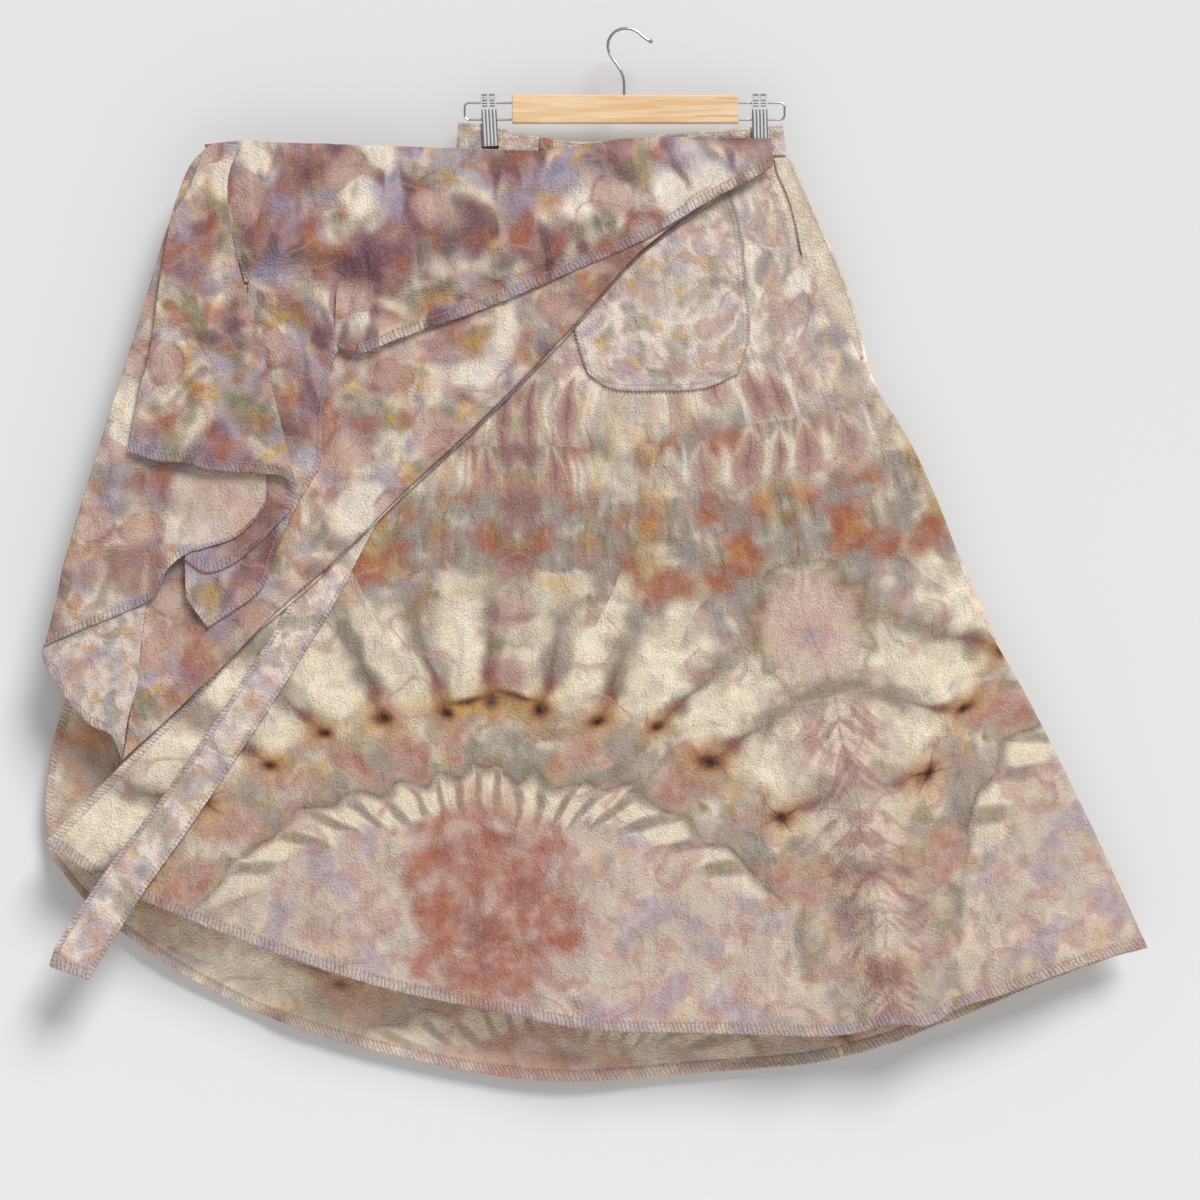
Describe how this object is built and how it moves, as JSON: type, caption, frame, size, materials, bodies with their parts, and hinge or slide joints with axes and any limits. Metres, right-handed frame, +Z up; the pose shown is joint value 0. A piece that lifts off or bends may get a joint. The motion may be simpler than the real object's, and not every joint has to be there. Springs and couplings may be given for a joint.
{
  "type": "wrap skirt on clip hanger",
  "caption": "Long tie-dyed cotton wrap skirt, hung flat by its waistband from a wooden bar hanger with sliding clips; wrap end folded across and draped at the left side.",
  "frame": {"origin": "top of the inside of the hanger's hook, the point that rests on a rail", "axes": "+Z up, +X to the right as seen from the front, the front faces -Y"},
  "size_m": [1.1635, 0.0695, 1.1132],
  "materials": {
    "cloth_dyed": "matte",
    "cloth_inner": "matte",
    "wood_pine": "satin",
    "steel_wire": "bright",
    "steel_clip": "bright"
  },
  "bodies": {
    "root": {"back_panel": "cloth_dyed", "waistband": "cloth_dyed", "waist_tab": "cloth_dyed", "front_panel": "cloth_dyed", "side_strip": "cloth_dyed", "patch_pocket": "cloth_dyed", "tie_strap": "cloth_dyed", "wrap_inner_leg": "cloth_inner", "wrap_body": "cloth_dyed", "wrap_turned_face": "cloth_inner", "wrap_left_fall": "cloth_dyed", "wrap_upper_drape": "cloth_dyed", "wrap_front_fall": "cloth_dyed", "wrap_inner_curl": "cloth_inner", "wrap_corner_flap": "cloth_dyed", "hanger_hook": "steel_wire", "hanger_wire": "steel_wire", "hanger_bar": "wood_pine", "clip_left_front_jaw": "steel_clip", "clip_left_back_jaw": "steel_clip", "clip_left_saddle": "steel_clip", "clip_right_front_jaw": "steel_clip", "clip_right_back_jaw": "steel_clip", "clip_right_saddle": "steel_clip"}
  },
  "joints": []
}
